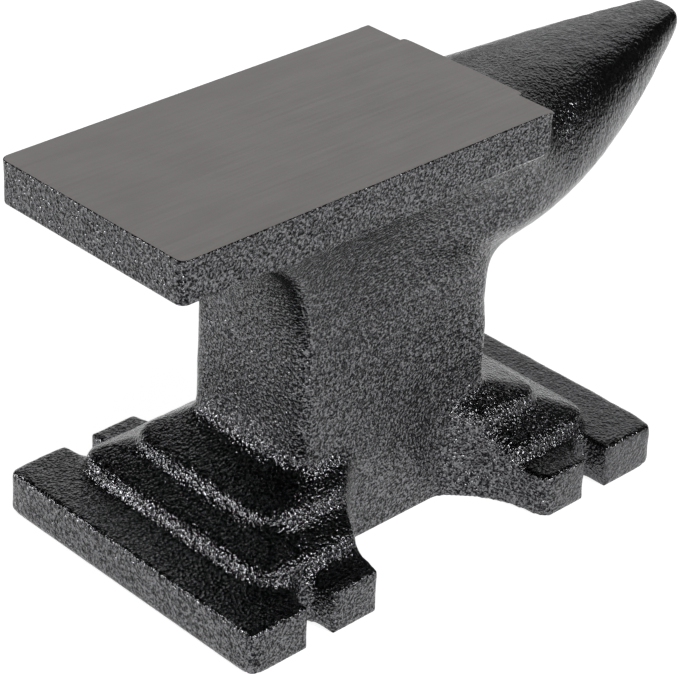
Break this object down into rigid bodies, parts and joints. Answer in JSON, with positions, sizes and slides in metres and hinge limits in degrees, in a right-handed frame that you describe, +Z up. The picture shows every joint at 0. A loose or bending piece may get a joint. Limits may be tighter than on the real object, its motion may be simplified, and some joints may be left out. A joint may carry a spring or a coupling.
{
  "type": "bench anvil",
  "caption": "Small bench anvil: a cast iron body with stepped feet, a waist and a round horn, under a flat ground steel face plate.",
  "frame": {"origin": "centre of the base underside, on the surface the anvil stands on", "axes": "+X towards the tip of the horn, +Y across the face, +Z up"},
  "size_m": [0.2014, 0.0932, 0.111],
  "materials": {
    "hammered_paint": "glossy black and silver hammered enamel on a sand-cast iron skin",
    "ground_steel": "fine ground bare steel on top, the same hammered enamel on its edges"
  },
  "bodies": {
    "root": {"cast_body": "hammered_paint", "face_plate": "ground_steel"}
  },
  "joints": []
}
